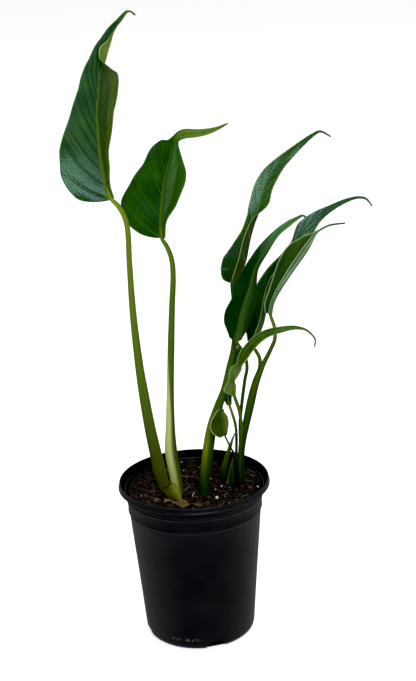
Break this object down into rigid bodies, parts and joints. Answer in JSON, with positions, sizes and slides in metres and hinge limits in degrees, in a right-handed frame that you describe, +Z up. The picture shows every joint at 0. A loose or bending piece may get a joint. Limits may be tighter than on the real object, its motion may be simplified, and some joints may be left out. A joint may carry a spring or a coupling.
{
  "type": "potted plant",
  "caption": "Young arum-family houseplant with long folded leaves on arching stalks, growing in a round tapered black nursery pot filled with bark mix.",
  "frame": {"origin": "middle of the pot's flat underside", "axes": "+Z up the pot's axis, -Y towards the side that is seen from the front, +X to the right in that view"},
  "size_m": [0.2468, 0.1264, 0.5221],
  "materials": {
    "black_moulded_plastic": "satin black moulded polypropylene",
    "bark_and_peat_mix": "damp crumbly mix of composted bark, peat and perlite",
    "crown_tissue": "pale brown living stem skin",
    "olive_stalk": "smooth satin plant skin",
    "pale_sheath": "smooth satin plant skin, cream-green at the sheath",
    "green_stalk": "smooth satin plant skin",
    "dark_stalk": "smooth satin plant skin",
    "bud_sheath": "satin plant skin, drying at its margins",
    "leaf_green": "waxy leaf cuticle, glossy above and duller below",
    "leaf_olive": "waxy leaf cuticle, glossy above and duller below",
    "dry_papery_scale": "dry, wrinkled and papery"
  },
  "bodies": {
    "root": {"pot": "black_moulded_plastic", "soil": "bark_and_peat_mix", "crown_right": "crown_tissue", "stem_left": "olive_stalk", "stalk_left_tall": "olive_stalk", "stalk_left_short": "pale_sheath", "stalk_centre": "green_stalk", "stalk_front": "dark_stalk", "stalk_right_long": "olive_stalk", "stalk_olive": "dark_stalk", "stalk_curled": "olive_stalk", "stalk_young": "olive_stalk", "stalk_cup": "dark_stalk", "bud_sheath_tall": "bud_sheath", "bud_sheath_short": "bud_sheath", "leaf_left_tall": "leaf_green", "leaf_left_short": "leaf_green", "leaf_centre": "leaf_green", "leaf_front": "leaf_green", "leaf_right_long": "leaf_green", "leaf_olive": "leaf_olive", "leaf_curled": "leaf_olive", "leaf_young": "leaf_green", "leaf_cup": "leaf_green", "dry_bud_scale": "dry_papery_scale"}
  },
  "joints": []
}
